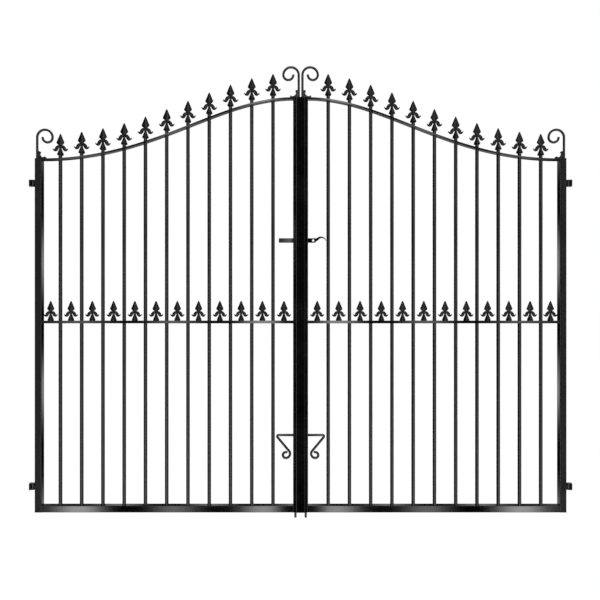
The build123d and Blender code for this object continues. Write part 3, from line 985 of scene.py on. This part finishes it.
@dataclass(frozen=True)
class Hinges(SubAssembly):
    """Welded hinge eyes, with their pins and brackets.

    The pin's ends say how much thinner it is at each distance from its end.
    """

    barrel: float = 8.0
    barrel_height: float = 19.0
    rim: float = 0.9
    rim_ease: float = 0.25
    bore_ease: float = 0.5
    pin: float = 5.0
    pin_ends: tuple[Flat, ...] = ((1.2, 0.0), (0.4, 0.3), (0.0, 1.0))
    eye_play: float = 0.1
    lug_play: float = 0.05
    sides: int = 32
    lug: float = 5.0
    gap: float = 0.5
    stile_reach: float = 15.0
    neck_tall: float = 13.0
    neck_deep: float = 10.0
    neck_gap: float = 0.6
    neck_corner: float = 0.8
    plate: float = 6.0
    plate_depth: float = 20.0
    plate_corner: float = 0.9
    plate_steps: int = 3
    plate_sink: float = 1.0
    lug_corner: float = 0.6
    nose_steps: int = 16
    bore_sides: int = 24

    @property
    def height(self) -> float:
        """Height of a bracket."""
        return self.barrel_height + 2 * (self.gap + self.lug)

    def build(self) -> None:
        """Make both hinges of one side."""
        gate = self.gate
        eyes, brackets, pins = (Ironwork(self.side) for _ in range(3))
        for level in (gate.lower_hinge, gate.upper_hinge):
            self.eye(eyes, level)
            self.bracket(brackets, level)
            self.rod(pins, level)
        word, fixed = self.side.word, "hinge_brackets"
        eyes.sided("hinge_eye_barrels", self.paints.bars, "hinge_eyes")
        brackets.piece(f"{word}_hinge_bracket_plates", fixed, self.paints.bars,
                       [f"{word}_hinge_brackets"])
        pins.piece(f"{word}_hinge_pin_rods", fixed, self.paints.sliding, [f"{word}_hinge_pins"])

    def eye(self, iron: Ironwork, level: float) -> None:
        """Barrel with the neck that is welded to the stile.

        Args:
            iron: Piece that it is added to.
            level: Height of its middle.
        """
        x, y = self.gate.pin_place, self.gate.pin_setback
        half, r, bore = self.barrel_height / 2, self.barrel, self.pin + self.eye_play
        lower = [(bore, self.bore_ease - half), (bore + self.bore_ease, -half),
                 (r - self.rim, -half), (r - self.rim_ease, self.rim_ease - half),
                 (r, self.rim - half)]
        ring = lower + [(wide, -z) for wide, z in reversed(lower)]
        turns = [math.tau * i / self.sides for i in range(self.sides)]
        points = [(x + r * math.cos(a), y + r * math.sin(a), level + z)
                  for a in turns for r, z in ring]
        count = len(ring)
        faces = []
        for i in range(self.sides):
            here, there = i * count, (i + 1) % self.sides * count
            faces += [[here + j, here + (j + 1) % count, there + (j + 1) % count, there + j]
                      for j in range(count)]
        iron.add(points, faces)
        tall, deep = self.neck_tall / 2, self.neck_deep / 2
        iron.block((x - self.stile_reach, y - deep, level - tall),
                   (x - bore - self.neck_gap, y + deep, level + tall), self.neck_corner)

    def bracket(self, iron: Ironwork, level: float) -> None:
        """Plate with a lug at its top and at its bottom.

        Args:
            iron: Piece that it is added to.
            level: Height of its middle.
        """
        x, y = self.gate.pin_place, self.gate.pin_setback
        half, r, deep = self.height / 2, self.barrel, self.plate_depth / 2
        back = x + self.stile_reach
        iron.block((back - self.plate, y - deep, level - half), (back, y + deep, level + half),
                   self.plate_corner, self.plate_steps)
        end = back - self.plate_sink
        outline = [*arc((x, y), r, 90, 270, self.nose_steps), (end, y - r), (end, y + r)]
        bore = hole((x, y), self.pin + self.lug_play, self.bore_sides)
        for foot in (level - half, level + half - self.lug):
            iron.plate(Facing.LEVEL, outline, (foot, foot + self.lug), self.lug_corner, [bore])

    def rod(self, iron: Ironwork, level: float) -> None:
        """Pin with eased ends.

        Args:
            iron: Piece that it is added to.
            level: Height of its middle.
        """
        gate, half, r = self.gate, self.height / 2, self.pin
        profile = [(r - thinner, level - half + rise) for thinner, rise in self.pin_ends]
        profile += [(r - thinner, level + half - drop) for thinner, drop in reversed(self.pin_ends)]
        iron.turned((gate.pin_place, gate.pin_setback), profile, self.sides)


@dataclass(frozen=True)
class CoverStrip(SubAssembly):
    """Bevelled flat bar in front of the gap, on a narrow spacer."""

    width: float = 38.0
    thickness: float = 5.0
    standoff: float = 5.0
    bevel: float = 2.2
    ease: float = 0.3
    roll_in: float = 0.25
    roll_out: float = 0.1
    margin: float = 2.0
    spacer: float = 10.0
    spacer_sink: float = 0.2
    spacer_margin: float = 1.0
    spacer_corner: float = 0.4
    crease: float = 15.0

    def build(self) -> None:
        """Make the strip on the left leaf."""
        front = -self.gate.tube / 2
        back = front - self.standoff
        face = back - self.thickness
        half, b = self.width / 2, self.bevel
        foot, top = self.margin, self.gate.meeting_height - self.margin
        iron = Ironwork(self.side)
        rims = ((half - self.ease, back), (half, back - self.ease), (half, face + b),
                (half - self.roll_out, face + b - self.roll_in),
                (half - b + self.roll_in, face + self.roll_out), (half - b, face))
        iron.skin([[(-w, y, foot + half - w), (w, y, foot + half - w), (w, y, top - half + w),
                    (-w, y, top - half + w)] for w, y in rims])
        middle, reach = -(self.gate.meeting_outer + half) / 2, self.spacer / 2
        iron.block((middle - reach, back - self.spacer_sink, foot + self.spacer_margin),
                   (middle + reach, front, top - self.spacer_margin), self.spacer_corner)
        iron.piece("left_cover_strip_bar", "left_leaf", self.paints.strip, ["left_cover_strip"],
                   self.crease)


@dataclass(frozen=True)
class SlideLatch(SubAssembly):
    """Flat bar behind the meeting stiles, with its guide and its keep."""

    level: float = 1200.0
    tall: float = 20.0
    thick: float = 6.0
    left_reach: float = 97.0
    right_reach: float = 62.0
    play: float = 0.5
    corner: float = 0.8
    tail_root: float = 72.0
    tail_thick: float = 8.0
    tail_rise: float = 8.0
    tail_reach: float = 42.0
    tail_drop: float = 2.0
    tail_steps: int = 14
    crest_share: float = 0.45
    root_share: float = 0.3
    hole_place: float = 56.0
    hole: float = 5.0
    hole_sides: int = 30
    strap: float = 3.0
    strap_width: float = 24.0
    strap_corner: float = 0.7
    flange: float = 14.0

    def build(self) -> None:
        """Make the bar, the guide and the keep."""
        self.bar()
        for side, node in ((Side.LEFT, "latch_keep"), (Side.RIGHT, "latch_guide")):
            iron = Ironwork(side)
            self.hat(iron)
            iron.sided(f"{node}_strap", self.paints.bars, node)

    def curve(self, start: Flat, through: Flat, end: Flat) -> list[Flat]:
        """Points on the circle through three points, from the first to the last.

        Args:
            start: First point.
            through: Point between them.
            end: Last point.

        Returns:
            The points, both ends among them.
        """
        (ax, ay), (bx, by), (cx, cy) = start, through, end
        d = 2 * (ax * (by - cy) + bx * (cy - ay) + cx * (ay - by))
        a2, b2, c2 = ax * ax + ay * ay, bx * bx + by * by, cx * cx + cy * cy
        ux = (a2 * (by - cy) + b2 * (cy - ay) + c2 * (ay - by)) / d
        uy = (a2 * (cx - bx) + b2 * (ax - cx) + c2 * (bx - ax)) / d
        radius = math.dist((ux, uy), start)
        first = math.degrees(math.atan2(ay - uy, ax - ux))
        last = math.degrees(math.atan2(cy - uy, cx - ux))
        last += 360 * round((first - last) / 360)
        return arc((ux, uy), radius, first, last, self.tail_steps)

    def bar(self) -> None:
        """The sliding bar: plain end, padlock hole and curled tail."""
        half, drop, rise = self.tall / 2, self.tail_drop, self.tail_rise
        crest = self.tail_root + self.tail_reach * self.crest_share
        end = self.tail_root + self.tail_reach
        root = (self.tail_root + self.tail_thick, half * self.root_share)
        under = self.curve(root, (crest, half + rise - self.tail_thick), (end - drop, -drop))
        over = self.curve((end, -drop / 2), (crest, half + rise), (self.tail_root, half))
        outline = [(-self.left_reach, half), (-self.left_reach, -half), (self.right_reach, -half),
                   *under, *over]
        placed = [(x, self.level + up) for x, up in outline]
        ring = hole((self.hole_place, self.level), self.hole, self.hole_sides)
        front = self.gate.tube / 2 + self.play
        iron = Ironwork(self.side)
        iron.plate(Facing.FRONT, placed, (front, front + self.thick), self.corner, [ring])
        iron.piece("slide_latch_bar", "slide_latch", self.paints.sliding, ["slide_latch"])

    def hat(self, iron: Ironwork) -> None:
        """Strap bent round the bar, with a flange above and below.

        Args:
            iron: Piece that it is added to.
        """
        inner = self.tall / 2 + self.play
        outer = inner + self.strap
        brim = outer + self.flange
        deep = self.thick + 2 * self.play
        half = [(0, brim), (self.strap, brim), (self.strap, outer), (deep + self.strap, outer)]
        lower = [(y, -up) for y, up in reversed(half)]
        outline = [(0, inner), *half, *lower, (0, -inner), (deep, -inner), (deep, inner)]
        placed = [(self.gate.tube / 2 + y, self.level + up) for y, up in outline]
        middle, reach = self.gate.meeting_outer + self.gate.tube / 2, self.strap_width / 2
        iron.plate(Facing.EDGE, placed, (middle - reach, middle + reach), self.strap_corner)


@dataclass(frozen=True)
class DropBolts(SubAssembly):
    """Drop bolts with scrolled handles, and the guide blocks they slide in.

    The tip's ease says how much thinner it is at each height above its end, and the steps are
    those of the bends from the top of the rod to the end of the scroll.
    """

    place: float = 23.0
    setback: float = 25.0
    radius: float = 5.5
    tip_radius: float = 5.2
    tip_length: float = 36.0
    tip_ease: tuple[Flat, ...] = ((1.5, 0.0), (0.2, 1.4), (0.0, 1.9))
    shoulder: float = 0.3
    straight: float = 150.0
    end_shares: Flat = (0.85, 0.5)
    sides: int = 28
    guide_levels: Flat = (60.0, 307.0)
    guide: Point = (20.0, 20.0, 15.0)
    guide_play: float = 0.3
    guide_corner: float = 1.0
    bore_sides: int = 30
    handle_level: float = 332.0
    bend: float = 12.0
    reach: float = 111.0
    corner: float = 6.0
    scroll_place: float = 66.0
    scroll_foot: float = 229.5
    scroll_radius: float = 19.0
    curl: float = 13.0
    end_radius: float = 8.0
    end_turn: float = 50.0
    steps: tuple[int, ...] = (10, 12, 16, 20, 8)

    def build(self) -> None:
        """Make the bolt and the guides of one leaf."""
        rod, guides = Ironwork(self.side), Ironwork(self.side)
        line = self.line()
        tip = [self.tip_radius - thinner for thinner, _ in self.tip_ease] + [self.tip_radius]
        end = [self.radius * share for share in self.end_shares]
        radii = tip + [self.radius] * (len(line) - len(tip) - len(end)) + end
        rod.rod([(x, self.setback, z) for x, z in line], radii, sides=self.sides)
        rod.sided("drop_bolt_rod", self.paints.sliding, "drop_bolt", "drop_bolt")
        wide, deep, tall = self.guide
        x, y = self.place, self.setback
        bore = hole((x, y), self.radius + self.guide_play, self.bore_sides)
        corners = ((1, 1), (-1, 1), (-1, -1), (1, -1))
        square = [(x + a * wide / 2, y + b * deep / 2) for a, b in corners]
        for level in self.guide_levels:
            guides.plate(Facing.LEVEL, square, (level - tall / 2, level + tall / 2),
                         self.guide_corner, [bore])
        guides.sided("bolt_guide_blocks", self.paints.bars, "bolt_guides")

    def line(self) -> list[Flat]:
        """Middle line of the bolt.

        Returns:
            Its points, from the tip to the end of the handle's scroll.
        """
        x, top = self.place, self.handle_level
        bend_steps, corner_steps, outer_steps, curl_steps, end_steps = self.steps
        line = [(x, rise - self.tip_length) for _, rise in self.tip_ease]
        line += [(x, -self.shoulder), (x, 0.0), (x, self.straight)]
        line += arc((x + self.bend, top - self.bend), self.bend, 180, 90, bend_steps)
        outer = Vector((self.scroll_place, self.scroll_foot + self.scroll_radius))
        corner = Vector((self.reach, top))
        slope = corner - outer
        lean = math.atan2(slope.y, slope.x) + math.acos(self.scroll_radius / slope.length)
        touch = outer + self.scroll_radius * Vector((math.cos(lean), math.sin(lean)))
        turn = math.degrees(math.acos((touch - corner).normalized().x))
        start = corner.x - self.corner * math.tan(math.radians(turn) / 2)
        line += arc((start, top - self.corner), self.corner, 90, 90 - turn, corner_steps)
        line += arc(tuple(outer), self.scroll_radius, math.degrees(lean), 270, outer_steps)
        curl = (self.scroll_place, self.scroll_foot + self.curl)
        line += arc(curl, self.curl, -90, 90, curl_steps)[1:]
        last = (self.scroll_place, self.scroll_foot + 2 * self.curl - self.end_radius)
        return line + arc(last, self.end_radius, 90, 90 + self.end_turn, end_steps)[1:]


@dataclass(frozen=True)
class Welds(SubAssembly):
    """Runs of weld where the bars of a leaf meet."""

    inset: float = 2.4
    sink: float = 0.4
    tube_bead: float = 1.6
    rail_bead: float = 1.4

    def build(self) -> None:
        """Make the welds of one leaf."""
        gate, iron, word = self.gate, Ironwork(self.side), self.side.word
        half, deep = gate.tube / 2 - self.inset, gate.rail_depth / 2
        level = gate.tube - self.sink
        for x, rail_end in ((gate.hinge_inner, gate.rail_point(1)),
                            (gate.meeting_inner, gate.rail_point(0))):
            iron.bead((x, half, level), (x, -half, level), self.tube_bead)
            under = rail_end[1] - gate.top_thickness / 2
            for z in (gate.mid_underside, gate.mid_top, under):
                iron.bead((x, deep, z), (x, -deep, z), self.rail_bead)
        iron.piece(f"{word}_weld_beads", f"{word}_leaf", self.paints.welds)


@dataclass(frozen=True)
class Lamp:
    """Soft rectangular lamp.

    Attributes:
        name: Its name.
        place: Where it hangs.
        aim: Point that it faces.
        size: Width and height in metres.
        power: Power in watts.
    """

    name: str
    place: Point
    aim: Point
    size: Flat
    power: float

    def build(self) -> None:
        """Hang the lamp."""
        light = bpy.data.lights.new(self.name, "AREA")
        light.shape = "RECTANGLE"
        light.size, light.size_y = self.size
        light.energy = self.power
        item = bpy.data.objects.new(self.name, light)
        item.location = self.place
        way = Vector(self.aim) - Vector(self.place)
        item.rotation_euler = way.to_track_quat("-Z", "Y").to_euler()
        item.visible_glossy = False
        bpy.context.scene.collection.objects.link(item)


@dataclass(frozen=True)
class Sky:
    """White for the eye, and for reflections a room with bright and dark bands.

    Stops give a level at each place, height or depth. Places run once round the horizon from 0 to
    1, with 0.5 straight behind the camera. Heights and depths are parts of the direction, up and
    into the drive. The strips behind the camera and the tiers of the far walls have their first
    angle and their pitch in degrees. At the heights that only the latch mirrors, no strips show
    within latch_dark degrees of the middle, and a gleam grows from its first angle to its last.
    """

    walls: Stops = (
        (0.0, 0.5), (0.05, 0.5), (0.06, 1.3), (0.09, 1.3), (0.11, 0.08), (0.24, 0.06), (0.245, 1.4),
        (0.255, 1.4), (0.26, 0.06), (0.33, 0.06), (0.40, 0.20), (0.43, 0.85), (0.46, 0.75),
        (0.488, 0.06), (0.5, 0.0), (0.512, 0.06), (0.54, 0.75), (0.60, 1.0), (0.70, 0.9),
        (0.78, 0.5), (0.86, 0.10), (0.89, 0.10), (0.91, 1.3), (0.94, 1.3), (0.95, 0.5), (1.0, 0.5),
    )
    wall_strength: float = 1.2
    strips: Flat = (3.6, 8.6)
    strip_reach: Stops = (
        (0.424, 0.0), (0.439, 1.0), (0.4935, 1.0), (0.4965, 0.0), (0.5035, 0.0), (0.5065, 1.0),
        (0.561, 1.0), (0.576, 0.0),
    )
    strip_levels: Stops = (
        (0.448, 1.2), (0.456, 0.45), (0.478, 0.45), (0.486, 1.0), (0.514, 1.0), (0.522, 0.45),
        (0.544, 0.45), (0.552, 1.2),
    )
    strip_strength: float = 8.0
    outer_strips: Stops = ((0.448, 1.0), (0.456, 0.0), (0.544, 0.0), (0.552, 1.0))
    strip_fade: Stops = ((0.12, 0.3), (0.24, 1.0))
    tiers: Flat = (3.4, 11.4)
    far: Stops = ((0.5, 0.0), (0.7, 1.0))
    over_height: Stops = ((0.27, 0.0), (0.31, 1.0), (0.36, 1.0), (0.42, 0.3))
    over_depth: Stops = ((0.3, 0.0), (0.6, 1.0))
    over_strength: float = 0.8
    latch_heights: Stops = ((0.06, 0.0), (0.08, 1.0), (0.13, 1.0), (0.15, 0.0))
    latch_dark: float = 5.0
    gleam: Flat = (2.2, 0.8)
    gleam_slope: float = 3.0
    fill: float = 0.75

    def build(self) -> None:
        """Make the world."""
        world = bpy.data.worlds.new("studio_sky")
        bpy.context.scene.world = world
        bench = Bench(world)
        rays = bench.node("ShaderNodeLightPath")
        seen, through, mirrored = (bench.out(rays, f"Is {kind} Ray")
                                   for kind in ("Camera", "Transmission", "Glossy"))
        direct = bench.math("MAXIMUM", seen, through)
        room = self.room(bench)
        strength = direct + (1 - direct) * (mirrored * room + (1 - mirrored) * self.fill)
        inputs = {"Color": (1, 1, 1, 1), "Strength": strength}
        bench.finish(bench.node("ShaderNodeBackground", inputs=inputs), True)

    @staticmethod
    def stripes(degrees: Value, first: float, pitch: float) -> Value:
        """Soft stripes from 0 to 1, the first at an angle and one at every pitch."""
        return ((degrees - first) * (math.tau / pitch)).calc("COSINE") * 0.5 + 0.5

    def room(self, bench: Bench) -> Value:
        """Strength that a mirror ray meets.

        Args:
            bench: Bench of the world.

        Returns:
            The strength.
        """
        way = bench.out(bench.node("ShaderNodeTexCoord"), "Generated")
        across, into, up = (bench.part(way, name) for name in "XYZ")
        turn = bench.math("ARCTAN2", across, -into)
        place = turn * (0.5 / math.pi) + 0.5
        degrees = turn * (180 / math.pi)
        spread = degrees.calc("ABSOLUTE")
        tier = self.stripes(up.calc("ARCSINE") * (180 / math.pi), *self.tiers)
        walls = bench.ramp(place, self.walls) * self.wall_strength
        walls = walls * (1.0 + bench.ramp(into, self.far) * (tier * tier - 1.0))
        strip = self.stripes(spread, *self.strips)
        outer = bench.ramp(place, self.outer_strips)
        fading = 1.0 + outer * (bench.ramp(-up, self.strip_fade) - 1.0)
        levels = bench.ramp(place, self.strip_levels)
        strips = strip * strip * levels * fading * self.strip_strength
        at_latch = bench.ramp(up, self.latch_heights)
        hidden = spread.calc("LESS_THAN", self.latch_dark) * at_latch
        behind = bench.ramp(place, self.strip_reach) * (1.0 - hidden)
        gleam = (degrees + self.gleam[0]).calc("MAXIMUM", 0.0) * self.gleam_slope * at_latch
        room = walls + behind * (strips - walls) + gleam * degrees.calc("LESS_THAN", -self.gleam[1])
        beyond = self.stripes(180.0 - spread, 0.0, self.strips[1])
        over_gate = bench.ramp(into, self.over_depth) * bench.ramp(up, self.over_height)
        return room + over_gate * (beyond * beyond * self.over_strength - room)


@dataclass(frozen=True)
class Studio:
    """Pale floor, white sky, soft lamps and the camera."""

    sky: Sky = Sky()
    lamps: tuple[Lamp, ...] = (
        Lamp("left_softbox", (-1.6, -3.0, 2.4), (1.2, 0, 0.8), (2.2, 2.2), 26),
        Lamp("right_softbox", (4.0, -3.0, 2.0), (1.2, 0, 0.8), (2.2, 2.2), 22),
        Lamp("top_softbox", (1.2, 0.6, 3.6), (1.2, 0, 0.6), (3.0, 1.6), 24),
    )
    floor_level: float = -0.152
    floor_reach: float = 60.0
    floor_grey: float = 0.9
    floor_glow: float = 1.03
    glow_share: float = 0.94
    lens: float = 35.0
    sensor: float = 36.0
    eye: Point = (1.1974, -2.585, 0.825)

    def build(self) -> None:
        """Make the studio."""
        self.sky.build()
        self.floor()
        for lamp in self.lamps:
            lamp.build()
        self.camera()

    def floor(self) -> None:
        """Large pale floor that reads white and keeps a faint shadow."""
        mesh = bpy.data.meshes.new("studio_floor")
        reach, z = self.floor_reach, self.floor_level
        corners = [(-reach, -reach, z), (reach, -reach, z), (reach, reach, z), (-reach, reach, z)]
        mesh.from_pydata(corners, [], [[0, 1, 2, 3]])
        floor = bpy.data.objects.new("studio_floor", mesh)
        bpy.context.scene.collection.objects.link(floor)
        made = bpy.data.materials.new("studio_floor_white")
        bench = Bench(made)
        rays = bench.node("ShaderNodeLightPath")
        seen, mirrored, through = (bench.out(rays, f"Is {kind} Ray")
                                   for kind in ("Camera", "Glossy", "Transmission"))
        direct = bench.math("MAXIMUM", bench.math("MAXIMUM", seen, mirrored), through)
        inputs = {"Color": (1, 1, 1, 1), "Strength": self.floor_glow}
        glow = bench.node("ShaderNodeEmission", inputs=inputs)
        inputs = {"Color": (self.floor_grey, self.floor_grey, self.floor_grey, 1)}
        matt = bench.node("ShaderNodeBsdfDiffuse", inputs=inputs)
        inputs = {0: direct * self.glow_share, 1: bench.out(matt), 2: bench.out(glow)}
        bench.finish(bench.node("ShaderNodeMixShader", inputs=inputs))
        mesh.materials.append(made)
        floor.visible_glossy = False
        floor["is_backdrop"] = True

    def camera(self) -> None:
        """Camera at the photograph's place, level and square to the gate."""
        data = bpy.data.cameras.new("camera")
        data.lens = self.lens
        data.sensor_fit = "HORIZONTAL"
        data.sensor_width = self.sensor
        item = bpy.data.objects.new("camera", data)
        item.location = self.eye
        item.rotation_euler = (math.radians(90), 0, 0)
        bpy.context.scene.collection.objects.link(item)
        bpy.context.scene.camera = item


def dress_nodes(paint: bpy.types.Material) -> None:
    """Give every CAD node the paint, so that one that still shows is dressed too.

    Args:
        paint: The paint.
    """
    for item in bpy.data.objects:
        if item.type == "MESH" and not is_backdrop(item):
            item.data.materials.clear()
            item.data.materials.append(paint)


def main() -> None:
    """Build the gate's looks in order."""
    logging.basicConfig(level=logging.INFO, format="%(name)s: %(message)s")
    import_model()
    bpy.context.scene.view_settings.view_transform = "Standard"
    gate, paints = Gate(), Paints.mixed()
    dress_nodes(paints.bars)
    for side in Side:
        for part in (LeafFrame, Infill, SpearHeads, Scrolls, Hinges, DropBolts, Welds):
            part(gate, paints, side).build()
            log.info("%s %s done", side.word, part.__name__)
    for part in (CoverStrip, SlideLatch):
        part(gate, paints).build()
        log.info("%s done", part.__name__)
    Studio().build()


if __name__ == "__main__":
    main()
